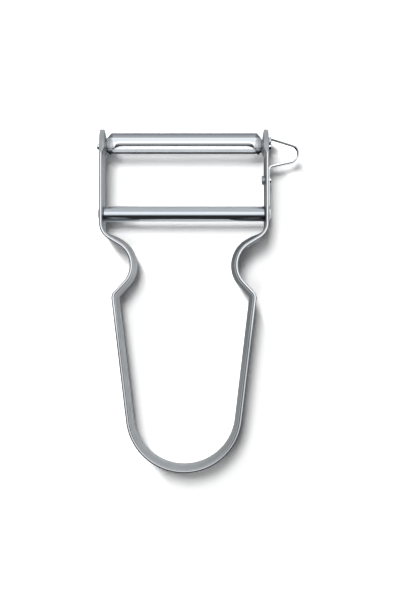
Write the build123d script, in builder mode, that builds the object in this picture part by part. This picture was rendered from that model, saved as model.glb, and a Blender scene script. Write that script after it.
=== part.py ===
from build123d import *
from math import atan2, cos, degrees, radians, sin, tan
import os

# A swivel vegetable peeler of stainless steel, lying flat.
# The origin is under the middle of the handle's butt, on the surface that it lies on.
# +Y runs from the butt to the blade, +Z up, and X = 0 is the middle of the frame.

# The strip that the frame is bent from
strip_thickness = 1.0
strip_width = 11.0
grip_hollow = 1.15          # how far the middle of the grip's strip bows into the handle
mid_height = strip_width / 2

# The frame's bend line, seen from above, along the middle of the strip's edge
butt_radius = 18.0
side_lean = 6.8             # degrees that each side of the grip leans outwards
shoulder_y = 56.0           # corner where the grip is widest
shoulder_radius = 2.5
waist_half_width = 12.1     # corner of the waist, before its round is bent
waist_rise = 11.2           # shoulder corner up to the waist's corner
waist_radius = 8.0
arm_foot_rise = 8.7         # waist's corner up to the corner where the arms start
arm_foot_radius = 5.3
waist_y = shoulder_y + waist_rise
arm_foot_y = waist_y + arm_foot_rise
neck_start_share = 0.15     # of the straight between the last two bends, where the bow starts to fade
neck_steps = 5              # spans between the sections of the neck
arm_gap = 51.9              # clear width between the two arms
arm_x = (arm_gap + strip_thickness) / 2
arm_inner_x = arm_gap / 2
arm_outer_x = arm_inner_x + strip_thickness

# The round bar between the arms
bar_rise = 6.3              # start of the arms up to the bar
bar_diameter = 5.0
bar_end_round = 0.45
bar_tenon_diameter = 3.0
bar_head_diameter = 3.9
bar_head_height = 1.1
rivet_clearance = 0.02      # radial, of a riveted shank in its hole
bar_y = arm_foot_y + bar_rise

# The blade's pivot, and the ears that carry it
pivot_rise = 21.7           # bar up to the pivot
pin_diameter = 2.0
pin_radius = pin_diameter / 2
pin_clearance = 0.06        # radial, between a pin and its ear
pin_stand_out = 1.15        # how far a pin shows outside its ear
pin_end_round = 0.3
ear_rim_height = 1.1        # how far the ear's rim is turned inwards
ear_rim_full_rise = 2.3     # the rim is full height from this far above the pivot
ear_rim_end_drop = 0.7      # down to this far below it
ear_rim_run_out = 1.9       # length of the slant at the rim's end
tip_radius = mid_height
pivot_y = bar_y + pivot_rise
ear_rim_full_y = pivot_y + ear_rim_full_rise
ear_rim_end_y = pivot_y - ear_rim_end_drop

# The two dimples in each ear that stop the blade's swing
swing_angle = 50.0          # degrees from the blade's rest pose, front lip upwards
stop_radius = 0.7
stop_height = 0.95
stop_arm = 1.3              # place of a stop along the blade's heel, from the pivot
stop_clearance = 0.05

# The blade
blade_sheet = 0.8
blade_front = 4.5           # pivot to the front edge of the broad lip
blade_front_drop = 0.75     # the front edge lies this much lower than the pivot
blade_crease = 2.6          # pivot to the crease behind the front facet
blade_crease_rise = 1.4
blade_crown = 0.3           # the crown lies this far in front of the pivot
blade_crown_rise = 1.95
blade_back_bend = 1.85      # pivot to the bend of the narrow lip
blade_back_bend_rise = 1.45
blade_back = 2.4            # pivot to the back edge of the narrow lip
blade_back_rise = 0.65
heel_clearance = 0.3        # side play of the blade between the ears
front_taper = 2.15          # the front corners are cut off over this length, down to the pins
back_taper = 1.75
heel_share = 0.49           # of the front taper, the flat block at each end that carries the pin
slot_margin = 0.9           # end of the slot to the start of the front taper
slot_front = 0.08           # the cutting edge lies this far behind the pivot
slot_width = 0.93
slot_end_radius = 4.8       # the long rounds at the ends of the cutting edge

# The spring strip loop that takes out eyes, outside the right arm
loop_thickness = 0.5
loop_width = 3.2
loop_reach = 9.8            # arm to the middle of the strip at the nose
loop_top_rise = 2.75        # pivot up to the corner where the strip comes back to the arm
loop_span = 9.33            # that corner down to the corner where the strip leaves the arm
nose_upper_share = 0.683    # the nose's two corners, as shares of the span
nose_lower_share = 0.226
nose_round_share = 0.97     # how much of the nose its two rounds take up
loop_top_radius = 0.5
loop_foot_radius = 1.5
loop_tab_length = 1.55      # end of the strip, turned down along the arm
loop_tail_clearance = 0.17  # other end, flat against the arm, stops this far above the bar's head

# The rivet that holds the loop
rivet_drop = 4.3            # foot corner of the loop down to the rivet
rivet_diameter = 1.6
rivet_head_diameter = 2.9
rivet_head_height = 0.95
rivet_tail_diameter = 2.3
rivet_tail_height = 0.55

overrun = 1.0               # what a cut or a trimming block reaches past the metal

right_arm = Plane.YZ.offset(arm_x)


def along(path, share):
    """Plane across a path: x points to the inside of the handle, y points up."""
    tangent = path % share
    return Plane(origin=path @ share, x_dir=Vector(0, 0, 1).cross(tangent), z_dir=tangent)


def strip_section(hollow):
    """Section of the frame's strip, bowed inwards by hollow at its middle."""
    half = strip_thickness / 2
    with BuildSketch() as section:
        with BuildLine():
            for side in (-half, half):
                if hollow > 0:
                    ThreePointArc((side, -mid_height), (side + hollow, 0), (side, mid_height))
                else:
                    Line((side, -mid_height), (side, mid_height))
            Line((-half, -mid_height), (half, -mid_height))
            Line((-half, mid_height), (half, mid_height))
        make_face()
    return section.sketch


# Corners of the bend line on the right side
lean = radians(side_lean)
butt_end = (butt_radius * cos(lean), butt_radius * (1 - sin(lean)))
shoulder = (butt_end[0] + (shoulder_y - butt_end[1]) * tan(lean), shoulder_y)
waist = (waist_half_width, waist_y)
arm_foot = (arm_x, arm_foot_y)
waist_to_foot = Vector(*arm_foot) - Vector(*waist)
foot_turn = degrees(atan2(waist_to_foot.X, waist_to_foot.Y))
side_to_waist = Vector(*waist) - Vector(*shoulder)
waist_turn = foot_turn - degrees(atan2(side_to_waist.X, side_to_waist.Y))
foot_tangent = arm_foot_radius * tan(radians(foot_turn) / 2)
waist_tangent = waist_radius * tan(radians(waist_turn) / 2)
diagonal = waist_to_foot.normalized()
bend_start = Vector(*arm_foot) - diagonal * foot_tangent
waist_end = Vector(*waist) + diagonal * waist_tangent
grip_end = waist_end + (bend_start - waist_end) * neck_start_share
arm_start_y = arm_foot_y + foot_tangent

# The grip, from one waist round the butt to the other, with its bowed section
with BuildPart() as grip:
    with BuildLine(Plane.XY.offset(mid_height)) as grip_line:
        right_side = FilletPolyline(
            butt_end, shoulder, waist, (grip_end.X, grip_end.Y), radius=[shoulder_radius, waist_radius]
        )
        left_side = mirror(right_side, about=Plane.YZ)
        butt = ThreePointArc((-butt_end[0], butt_end[1]), (0, 0), butt_end)
    with BuildSketch(along(grip_line.wire(), 0)):
        add(strip_section(grip_hollow))
    sweep(path=grip_line.wire())

# The neck, where the bowed strip turns flat while it bends into the arm
with BuildPart() as neck:
    with BuildLine(Plane.XY.offset(mid_height)) as neck_line:
        Line((grip_end.X, grip_end.Y), (bend_start.X, bend_start.Y))
        JernArc((bend_start.X, bend_start.Y), (diagonal.X, diagonal.Y), arm_foot_radius, foot_turn)
    for step in range(neck_steps + 1):
        fade_share = (1 + cos(radians(180 * step / neck_steps))) / 2
        with BuildSketch(along(neck_line.wire(), step / neck_steps)):
            add(strip_section(grip_hollow * fade_share))
    loft()

# One arm with its ear, the ear's turned-in rim and the two stop dimples
with BuildPart() as arm:
    with BuildSketch(right_arm):
        with Locations(((arm_start_y + pivot_y) / 2, mid_height)):
            Rectangle(pivot_y - arm_start_y, strip_width)
        with Locations((pivot_y, mid_height)):
            Circle(tip_radius)
    extrude(amount=strip_thickness / 2, both=True)

with BuildPart() as ear_rim:
    with BuildSketch(Plane.YZ.offset(arm_inner_x)):
        for half_width, cut in ((tip_radius, Mode.ADD), (tip_radius - strip_thickness, Mode.SUBTRACT)):
            with Locations((pivot_y - tip_radius / 2, mid_height)):
                Rectangle(tip_radius, 2 * half_width, mode=cut)
            with Locations((pivot_y, mid_height)):
                Circle(half_width, mode=cut)
    extrude(amount=-ear_rim_height)
    with BuildSketch():
        with BuildLine():
            Polyline(
                (arm_inner_x, pivot_y + tip_radius),
                (arm_inner_x - ear_rim_height, ear_rim_full_y),
                (arm_inner_x - ear_rim_height, ear_rim_end_y),
                (arm_inner_x, ear_rim_end_y - ear_rim_run_out),
                close=True,
            )
        make_face()
    extrude(amount=strip_width, mode=Mode.INTERSECT)

# Places of the lower and the upper stop, seen along the pivot
stop_offset = pin_radius + stop_clearance + stop_radius
swing = radians(swing_angle)
lower_stop = (pivot_y + stop_arm, mid_height - stop_offset)
upper_stop = (
    pivot_y + stop_arm * cos(swing) - stop_offset * sin(swing),
    mid_height + stop_arm * sin(swing) + stop_offset * cos(swing),
)

with BuildPart() as stops:
    with BuildSketch(Plane.YZ.offset(arm_inner_x)):
        with Locations(lower_stop, upper_stop):
            Circle(stop_radius)
    extrude(amount=-stop_height)
    fillet(stops.faces().filter_by(Axis.X).group_by(Axis.X)[0].edges(), radius=stop_radius / 2)

# Places of the loop's bends, worked out here because its rivet goes through the right arm
loop_x = arm_outer_x + loop_thickness / 2
nose_x = arm_outer_x + loop_reach
loop_top_y = pivot_y + loop_top_rise
loop_foot_y = loop_top_y - loop_span
rivet_y = loop_foot_y - rivet_drop
loop_tail_y = bar_y + bar_head_diameter / 2 + loop_tail_clearance

with BuildPart() as frame:
    add(neck.part)
    add(arm.part)
    add(ear_rim.part)
    add(stops.part)
    with BuildSketch(Plane.YZ.offset(arm_outer_x)):
        with Locations(lower_stop, upper_stop):
            Circle(stop_radius / 2)
    extrude(amount=-strip_thickness / 2, mode=Mode.SUBTRACT)
    mirror(about=Plane.YZ)
    add(grip.part)
    with BuildSketch(Plane.YZ):
        with Locations((pivot_y, mid_height)):
            Circle(pin_radius + pin_clearance)
        with Locations((bar_y, mid_height)):
            Circle(bar_tenon_diameter / 2 + rivet_clearance)
    extrude(amount=arm_outer_x + overrun, both=True, mode=Mode.SUBTRACT)
    with BuildSketch(Plane.YZ):
        with Locations((rivet_y, mid_height)):
            Circle(rivet_diameter / 2 + rivet_clearance)
    extrude(amount=arm_outer_x + overrun, mode=Mode.SUBTRACT)
frame.part.label = "frame"

# The bar between the arms: a rod with a tenon at each end, riveted over outside the arm
with BuildPart() as crossbar:
    with BuildSketch(Plane.XY.offset(mid_height)):
        with BuildLine():
            radius = bar_diameter / 2
            tenon = bar_tenon_diameter / 2
            head = bar_head_diameter / 2
            round_start = (arm_inner_x - bar_end_round, bar_y + radius)
            Polyline(
                (0, bar_y),
                (0, bar_y + radius),
                round_start,
            )
            RadiusArc(round_start, (arm_inner_x, bar_y + radius - bar_end_round), bar_end_round)
            Polyline(
                (arm_inner_x, bar_y + radius - bar_end_round),
                (arm_inner_x, bar_y + tenon),
                (arm_outer_x, bar_y + tenon),
                (arm_outer_x, bar_y + head),
            )
            EllipticalCenterArc((arm_outer_x, bar_y), bar_head_height, head, 0, arc_size=90)
            Line((arm_outer_x + bar_head_height, bar_y), (0, bar_y))
        make_face()
    revolve(axis=Axis((0, bar_y, mid_height), (1, 0, 0)))
    mirror(about=Plane.YZ)
crossbar.part.label = "crossbar"

# The blade: a bowed sheet with a cutting slot, whose ends run into the two pivot pins
heel_end_x = arm_inner_x - heel_clearance
sheet_end_x = heel_end_x - front_taper
heel_start_x = heel_end_x - front_taper * heel_share
slot_end_x = sheet_end_x - slot_margin
pin_length = arm_outer_x + pin_stand_out - heel_start_x
blade_plane = Plane(origin=(0, pivot_y, mid_height), x_dir=(0, 1, 0), z_dir=(1, 0, 0))
front_edge = (blade_front, -blade_front_drop)
crease = (blade_crease, blade_crease_rise)
crown = (blade_crown, blade_crown_rise)
back_bend = (-blade_back_bend, blade_back_bend_rise)
back_edge = (-blade_back, blade_back_rise)

with BuildPart() as blade_ends:
    with BuildSketch(blade_plane):
        with BuildLine():
            Line(front_edge, crease)
            ThreePointArc(crease, crown, back_bend)
            Polyline(back_bend, back_edge, (-blade_back, -pin_radius), (blade_front, -pin_radius), front_edge)
        make_face()
    extrude(amount=heel_end_x, both=True)
    with BuildSketch(Plane.XZ.offset(-pivot_y)):
        with BuildLine():
            Polyline(
                (sheet_end_x, mid_height - pin_radius),
                (sheet_end_x, mid_height + blade_crown_rise),
                (heel_start_x, mid_height + pin_radius),
                (heel_end_x, mid_height + pin_radius),
                (heel_end_x, mid_height - pin_radius),
                close=True,
            )
        make_face()
        mirror(about=Plane.YZ)
    extrude(amount=blade_front + overrun, both=True, mode=Mode.INTERSECT)

with BuildPart() as blade:
    with BuildSketch(blade_plane):
        with BuildLine() as top_line:
            Line(front_edge, crease)
            ThreePointArc(crease, crown, back_bend)
            Line(back_bend, back_edge)
            offset(amount=blade_sheet, side=Side.LEFT)
        make_face()
    extrude(amount=sheet_end_x, both=True)
    add(blade_ends.part)
    with BuildSketch():
        with BuildLine():
            Polyline(
                (0, pivot_y + blade_front + overrun),
                (sheet_end_x, pivot_y + blade_front + overrun),
                (sheet_end_x, pivot_y + blade_front),
                (heel_end_x, pivot_y + pin_radius),
                (heel_end_x, pivot_y - pin_radius),
                (heel_end_x - back_taper, pivot_y - blade_back),
                (heel_end_x - back_taper, pivot_y - blade_back - overrun),
                (0, pivot_y - blade_back - overrun),
                close=True,
            )
        make_face()
        mirror(about=Plane.YZ)
    extrude(amount=strip_width, mode=Mode.INTERSECT)
    with BuildSketch():
        with BuildLine():
            cut_y = pivot_y - slot_front
            back_y = cut_y - slot_width
            end_round_length = (slot_width * (2 * slot_end_radius - slot_width)) ** 0.5
            round_x = slot_end_x - end_round_length
            Polyline((0, back_y), (0, cut_y), (round_x, cut_y))
            RadiusArc((round_x, cut_y), (slot_end_x, back_y), slot_end_radius)
            Line((slot_end_x, back_y), (0, back_y))
        make_face()
        mirror(about=Plane.YZ)
    extrude(amount=strip_width, mode=Mode.SUBTRACT)
    for side in (-1, 1):
        with BuildSketch(blade_plane.offset(side * heel_start_x)):
            Circle(pin_radius)
        extrude(amount=side * pin_length)
    for pin_end in (blade.edges().sort_by(Axis.X)[0], blade.edges().sort_by(Axis.X)[-1]):
        fillet(pin_end, radius=pin_end_round)
blade.part.label = "blade"

# The loop: a strip that runs up the arm, out to the nose and back to a short turned-down end
nose_upper_y = loop_foot_y + loop_span * nose_upper_share
nose_lower_y = loop_foot_y + loop_span * nose_lower_share
upper_turn = atan2(nose_x - loop_x, loop_top_y - nose_upper_y)
lower_turn = atan2(nose_x - loop_x, nose_lower_y - loop_foot_y)
nose_tangents = tan(upper_turn / 2) + tan(lower_turn / 2)
nose_radius = nose_round_share * (nose_upper_y - nose_lower_y) / nose_tangents

with BuildPart() as eye_loop:
    with BuildLine(Plane.XY.offset(mid_height)) as loop_line:
        FilletPolyline(
            (loop_x, loop_tail_y),
            (loop_x, loop_foot_y),
            (nose_x, nose_lower_y),
            (nose_x, nose_upper_y),
            (loop_x, loop_top_y),
            (loop_x, loop_top_y - loop_tab_length),
            radius=[loop_foot_radius, nose_radius, nose_radius, loop_top_radius],
        )
    with BuildSketch(along(loop_line.wire(), 0)):
        Rectangle(loop_thickness, loop_width)
    sweep(path=loop_line.wire())
    with BuildSketch(Plane.YZ.offset(arm_outer_x)):
        with Locations((rivet_y, mid_height)):
            Circle(rivet_diameter / 2 + rivet_clearance)
    extrude(amount=loop_thickness, mode=Mode.SUBTRACT)
eye_loop.part.label = "eye_loop"

# The rivet: a low round head inside the arm, and a formed tail outside the loop's strip
with BuildPart() as loop_rivet:
    with BuildSketch(Plane.XY.offset(mid_height)):
        with BuildLine():
            tail_x = arm_outer_x + loop_thickness
            shank = rivet_diameter / 2
            head = rivet_head_diameter / 2
            tail = rivet_tail_diameter / 2
            TangentArc(
                (arm_inner_x - rivet_head_height, rivet_y), (arm_inner_x, rivet_y + head), tangent=(0, 1)
            )
            Polyline(
                (arm_inner_x, rivet_y + head),
                (arm_inner_x, rivet_y + shank),
                (tail_x, rivet_y + shank),
                (tail_x, rivet_y + tail),
            )
            TangentArc(
                (tail_x + rivet_tail_height, rivet_y), (tail_x, rivet_y + tail), tangent=(0, 1)
            )
            Line((tail_x + rivet_tail_height, rivet_y), (arm_inner_x - rivet_head_height, rivet_y))
        make_face()
    revolve(axis=Axis((0, rivet_y, mid_height), (1, 0, 0)))
loop_rivet.part.label = "loop_rivet"

os.makedirs("parts", exist_ok=True)
for piece in (frame, crossbar, blade, eye_loop, loop_rivet):
    export_step(piece.part, f"parts/{piece.part.label}.step")
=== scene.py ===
# %% [markdown]
# # A swivel vegetable peeler, wholly of steel
# The peeler lies flat on a pale table and is seen from straight above. It is one bent strip with a
# round bar, a slotted blade that swivels between the two ears, and a small sprung loop on the right arm.
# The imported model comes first, as a fixed frame. Every surface made below is laid over one of its
# nodes, in the same place and size, so the moving parts still turn about their own pins.

# %% Load the fixed frame
from math import atan2, ceil, cos, hypot, pi, radians, sin, sqrt, tan

import bmesh
import bpy
import numpy as np
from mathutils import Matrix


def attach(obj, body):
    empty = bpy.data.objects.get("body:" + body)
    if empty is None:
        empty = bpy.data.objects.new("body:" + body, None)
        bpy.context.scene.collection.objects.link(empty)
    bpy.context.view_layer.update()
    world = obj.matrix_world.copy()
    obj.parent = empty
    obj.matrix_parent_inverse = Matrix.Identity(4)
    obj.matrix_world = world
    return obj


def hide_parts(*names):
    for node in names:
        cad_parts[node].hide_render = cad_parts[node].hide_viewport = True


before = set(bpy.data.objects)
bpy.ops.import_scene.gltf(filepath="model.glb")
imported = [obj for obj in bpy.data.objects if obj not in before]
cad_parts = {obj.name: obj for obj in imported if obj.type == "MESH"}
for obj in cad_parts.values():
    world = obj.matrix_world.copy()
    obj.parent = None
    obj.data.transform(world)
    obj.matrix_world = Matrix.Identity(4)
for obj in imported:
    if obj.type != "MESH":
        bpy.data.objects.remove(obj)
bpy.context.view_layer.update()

# %% [markdown]
# ## The camera
# The photograph is taken from close by, because the inner faces of the strip show all round: at the
# butt the camera sees about 2 mm of a face that stands upright. That fixes the height at 0.3 m.
# The camera looks straight down, so it needs no turning: an unturned camera already looks along -Z
# with +Y up. A lens of 54.7 mm gives the right scale on the long side of the picture.

# %% Camera
MM = 0.001
camera_data = bpy.data.cameras.new("camera")
camera_data.lens = 54.69
camera_data.clip_start = 0.01
camera = bpy.data.objects.new("camera", camera_data)
camera.location = (5.25 * MM, 54.26 * MM, 300 * MM)
bpy.context.scene.collection.objects.link(camera)
bpy.context.scene.camera = camera
print("camera stands", round(camera.location.z * 1000), "mm over the table")

# %% [markdown]
# ## The table
# Polished steel has hardly any colour of its own: it shows the room. So the table and the lights are
# part of the finish, and they come before the pieces. The table is a matt white sheet that keeps the
# peeler's shadow, and it is much wider than the picture, so its edge never shows.
# The photograph exposes such a table past white and still keeps the dark core of the shadow. More
# light would bleach the steel too, so only the camera's own rays see the sheet brighter, by the Light
# Path node. Metal and glass see it half as plain white. A ray that has met something matt on its way
# counts as neither, so light thrown to and fro under the peeler isn't brightened.

# %% Helpers for node trees
def node(tree, kind, **settings):
    """A new shader node of that kind, with settings given by name."""
    made = tree.nodes.new(kind)
    for name, value in settings.items():
        setattr(made, name, value)
    return made


def new_material(name):
    """A material whose node tree is empty, and that tree."""
    material = bpy.data.materials.new(name)
    material.use_nodes = True
    material.node_tree.nodes.clear()
    return material, material.node_tree


def combine(tree, operation, a, b):
    """One maths node on two sockets, or a socket and a number."""
    made = node(tree, "ShaderNodeMath", operation=operation)
    for socket, value in zip(made.inputs, (a, b)):
        if isinstance(value, (int, float)):
            socket.default_value = value
        else:
            tree.links.new(value, socket)
    return made.outputs["Value"]


def first_sight(tree, *kinds):
    """One for a ray of those kinds that has met nothing matt yet: the largest of their Light Path values,
    times one while the diffuse depth is under a half."""
    path = node(tree, "ShaderNodeLightPath")
    seen = path.outputs[kinds[0]]
    for kind in kinds[1:]:
        seen = combine(tree, "MAXIMUM", seen, path.outputs[kind])
    return combine(tree, "MULTIPLY", seen, combine(tree, "LESS_THAN", path.outputs["Diffuse Depth"], 0.5))


# %% Table
CAMERA_GAIN, WHITE_SHARE, TABLE_HALF = 0.7, 0.5, 3.0
table_material, tree = new_material("matt white table")
output = node(tree, "ShaderNodeOutputMaterial")
matt = node(tree, "ShaderNodeBsdfDiffuse")
paper = node(tree, "ShaderNodeTexNoise")
paper.inputs["Scale"].default_value = 40.0
tone = node(tree, "ShaderNodeMapRange")
tone.inputs["To Min"].default_value = 0.955
tone.inputs["To Max"].default_value = 0.965
tree.links.new(paper.outputs["Fac"], tone.inputs["Value"])
path = node(tree, "ShaderNodeLightPath")
exposed = combine(tree, "ADD", 1.0, combine(tree, "MULTIPLY", path.outputs["Is Camera Ray"], CAMERA_GAIN))
tree.links.new(combine(tree, "MULTIPLY", tone.outputs["Result"], exposed), matt.inputs["Color"])
white = node(tree, "ShaderNodeEmission")
mixed = node(tree, "ShaderNodeMixShader")
shiny = first_sight(tree, "Is Glossy Ray", "Is Transmission Ray")
tree.links.new(combine(tree, "MULTIPLY", shiny, WHITE_SHARE), mixed.inputs["Fac"])
tree.links.new(matt.outputs["BSDF"], mixed.inputs[1])
tree.links.new(white.outputs["Emission"], mixed.inputs[2])
tree.links.new(mixed.outputs["Shader"], output.inputs["Surface"])

table_mesh = bpy.data.meshes.new("table")
corners = [(x * TABLE_HALF, y * TABLE_HALF, 0) for x, y in ((-1, -1), (1, -1), (1, 1), (-1, 1))]
table_mesh.from_pydata(corners, [], [(0, 1, 2, 3)])
table_mesh.materials.append(table_material)
table = bpy.data.objects.new("table", table_mesh)
bpy.context.scene.collection.objects.link(table)
print("the table is", 2 * TABLE_HALF, "m wide")

# %% [markdown]
# ## The lamps
# In the photograph the shadows fall to the lower right. They are dark close to the metal and gone
# within a few millimetres. One soft box can't do both, so there are three: a high one and a low one,
# which are both hidden only close to the metal, and a weak one from the side.
# A lamp may be hidden from mirror rays, as these are. They light the table, and no bright square of
# theirs shows in the steel.

# %% Lamps
def soft_box(name, tilt_x, tilt_y, distance, width, height, watts):
    """An area lamp that looks at the middle of the peeler. Its direction is the tangents of two tilts, in
    degrees across and along, and one upwards. Distance, width and height are in metres."""
    data = bpy.data.lights.new(name, "AREA")
    data.shape = "RECTANGLE"
    data.size = width
    data.size_y = height
    data.energy = watts
    lamp = bpy.data.objects.new(name, data)
    direction = np.array([tan(radians(tilt_x)), tan(radians(tilt_y)), 1.0])
    direction = direction / np.linalg.norm(direction)
    lamp.location = np.array([0.0, 60 * MM, 0.0]) + direction * distance
    lamp.rotation_euler = (-radians(tilt_y), radians(tilt_x), 0)
    lamp.visible_glossy = False
    bpy.context.scene.collection.objects.link(lamp)
    print("the", name, "gives", watts, "W")
    return lamp


soft_box("high soft box", -11, 23, 2.0, 0.65, 0.65, 19.7)
soft_box("low soft box", -38, 53, 2.0, 0.5, 0.35, 32.5)
soft_box("side soft box", -20, -6, 2.0, 0.75, 0.58, 4.4)

# %% [markdown]
# ## The room that the steel mirrors
# Polished steel is lit by what it mirrors. The round bar tells what that was, as a turned piece always
# does: it is white on top, light grey on the side of the blade and nearly black on the side of the
# handle. So the room is pale, with a white card overhead and a dark screen beyond the handle, and it
# is dimmer to the sides. Real cards could stand round the table. Painted on the world by direction,
# they throw no shadow and never get into the picture.
# Camera, mirror and glass rays see the room at full strength. For matt surfaces it is only a weak fill
# light, so the shadows stay dark.

# %% Smooth steps by nodes
def fade(tree, source, start, end, low, high):
    """A smooth step: low where source is at start, high where it is at end."""
    made = node(tree, "ShaderNodeMapRange", interpolation_type="SMOOTHSTEP")
    made.inputs["From Min"].default_value = start
    made.inputs["From Max"].default_value = end
    made.inputs["To Min"].default_value = low
    made.inputs["To Max"].default_value = high
    tree.links.new(source, made.inputs["Value"])
    return made.outputs["Result"]


def band(tree, source, start, full, fall, end):
    """A smooth step up from start to full, times a smooth step down from fall to end."""
    rise = fade(tree, source, start, full, 0.0, 1.0)
    drop = fade(tree, source, end, fall, 0.0, 1.0)
    return combine(tree, "MULTIPLY", rise, drop)


# %% Room
SCREEN_DARK, CARD_GLOW, FILL = 0.93, 1.2, 0.14
world = bpy.data.worlds.new("pale room")
bpy.context.scene.world = world
world.use_nodes = True
tree = world.node_tree
tree.nodes.clear()
output = node(tree, "ShaderNodeOutputWorld")
sky = node(tree, "ShaderNodeBackground")
place = node(tree, "ShaderNodeTexCoord")
split = node(tree, "ShaderNodeSeparateXYZ")
tree.links.new(place.outputs["Generated"], split.inputs["Vector"])
up = combine(tree, "MAXIMUM", split.outputs["Z"], 0.05)
tilt_y = combine(tree, "DIVIDE", split.outputs["Y"], up)
tilt_x = combine(tree, "DIVIDE", split.outputs["X"], up)
sideways = combine(tree, "ABSOLUTE", split.outputs["X"], 0.0)

far_side = fade(tree, split.outputs["Y"], 0.1, 0.6, 0.6, 1.0)
dim_sides = fade(tree, sideways, 0.5, 0.9, 1.0, 0.4)
room = combine(tree, "MULTIPLY", far_side, dim_sides)
above_table = fade(tree, split.outputs["Z"], 0.03, 0.1, 0.0, 1.0)
beyond_handle = fade(tree, tilt_y, -0.35, -0.7, 0.0, SCREEN_DARK)
screen = combine(tree, "MULTIPLY", above_table, beyond_handle)
room = combine(tree, "MULTIPLY", room, combine(tree, "SUBTRACT", 1.0, screen))
card_x = band(tree, tilt_x, -0.4, -0.15, 0.7, 0.95)
card_y = band(tree, tilt_y, -0.4, -0.18, 0.35, 0.55)
card = combine(tree, "MULTIPLY", card_x, card_y)
painted = combine(tree, "ADD", room, combine(tree, "MULTIPLY", card, CARD_GLOW))
whole = first_sight(tree, "Is Glossy Ray", "Is Transmission Ray", "Is Camera Ray")
share = combine(tree, "ADD", FILL, combine(tree, "MULTIPLY", whole, 1 - FILL))
tree.links.new(combine(tree, "MULTIPLY", painted, share), sky.inputs["Strength"])
sky.inputs["Color"].default_value = (0.97, 0.985, 1.0, 1)
tree.links.new(sky.outputs["Background"], output.inputs["Surface"])

bpy.context.scene.view_settings.view_transform = "Standard"
print("the room's screen takes away", SCREEN_DARK, "of its light, and its card adds", CARD_GLOW)

# %% [markdown]
# ## From a grid of points to a piece
# Each piece is a surface worked out with numpy: an array of rows of points, joined by quads. Where
# two runs of the grid meet, as on the middle of the strip, their points fall in the same place and
# are merged, so that the shell is closed. The flow attribute keeps, for each point, how far it lies
# along the metal and across it. The brushed grain follows that, round every bend.

# %% Grids and pieces
def grid_quads(rows, columns, loop_rows=False, loop_columns=False):
    """The quads of a grid whose points are numbered row by row: each joins four neighbours. The last row or
    column is joined to the first if asked."""
    r = np.arange(rows if loop_rows else rows - 1)[:, None]
    c = np.arange(columns if loop_columns else columns - 1)[None, :]
    next_r = (r + 1) % rows
    next_c = (c + 1) % columns
    row, next_row = r * columns, next_r * columns
    return np.stack([row + c, row + next_c, next_row + next_c, next_row + c], -1)


def make_piece(name, points, quads, body, replaces=None, slot=None, **attributes):
    """A mesh object from points in millimetres and quads, merged, facing outwards, riding on a body."""
    mesh = bpy.data.meshes.new(name)
    quads = np.ascontiguousarray(quads.reshape(-1, 4), np.int32)
    mesh.vertices.add(len(points))
    mesh.vertices.foreach_set("co", (points * MM).astype(np.float32).ravel())
    mesh.loops.add(quads.size)
    mesh.loops.foreach_set("vertex_index", quads.ravel())
    mesh.polygons.add(len(quads))
    mesh.polygons.foreach_set("loop_start", np.arange(0, quads.size, 4, dtype=np.int32))
    mesh.update(calc_edges=True)
    for label, values in attributes.items():
        kind, channel = ("FLOAT_VECTOR", "vector") if values.ndim == 2 else ("FLOAT", "value")
        layer = mesh.attributes.new(label, kind, "POINT")
        layer.data.foreach_set(channel, values.astype(np.float32).ravel())
    shell = bmesh.new()
    shell.from_mesh(mesh)
    bmesh.ops.remove_doubles(shell, verts=shell.verts, dist=0.0005 * MM)
    bmesh.ops.recalc_face_normals(shell, faces=shell.faces)
    open_edges = sum(1 for edge in shell.edges if not edge.is_manifold)
    shell.to_mesh(mesh)
    shell.free()
    mesh.polygons.foreach_set("use_smooth", np.ones(len(mesh.polygons), bool))
    mesh.set_sharp_from_angle(angle=radians(34))
    piece = bpy.data.objects.new(name, mesh)
    bpy.context.scene.collection.objects.link(piece)
    even = piece.modifiers.new("even normals", "WEIGHTED_NORMAL")
    even.weight = 50
    even.keep_sharp = True
    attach(piece, body)
    if replaces:
        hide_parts(replaces)
    print(name, len(mesh.vertices), "points,", len(mesh.polygons), "faces,", open_edges, "open edges")
    return piece


def arc(middle_u, middle_v, radius, start, end, count):
    """Points on an arc: the middle plus radius times the cosine and the sine of angles in degrees."""
    angles = np.radians(np.linspace(start, end, count))
    return np.stack([middle_u + radius * np.cos(angles), middle_v + radius * np.sin(angles)], -1)


# %% [markdown]
# ## The bend line
# The frame is one strip, bent on edge. A curve object could draw it, but its bends would only look
# right. Seen from above the real line is one of straights and arcs: its heading changes at a steady
# rate along each arc and not at all along a straight. Adding up small steps in that heading gives the
# whole line and its true length, and the same helper bends the loop's strip later.

# %% A line of straights and bends
def bent_line(start, heading, spans, step=0.01):
    """Knots, lengths, places and headings along a line. Each span is a length and the angle in radians that
    it turns by. A place is the sum of the steps, each times the cosine and sine of the heading mid step."""
    lengths = np.array([length for length, turn in spans])
    turns = np.array([turn for length, turn in spans])
    knots = np.concatenate([[0], np.cumsum(lengths)])
    headings = heading + np.concatenate([[0], np.cumsum(turns)])
    s = np.arange(0, knots[-1] + step, step)
    h = np.interp(s, knots, headings)
    middle_h = (h[1:] + h[:-1]) / 2
    x = start[0] + np.concatenate([[0], np.cumsum(np.cos(middle_h))]) * step
    y = start[1] + np.concatenate([[0], np.cumsum(np.sin(middle_h))]) * step
    return knots, s, x, y, h


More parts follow.
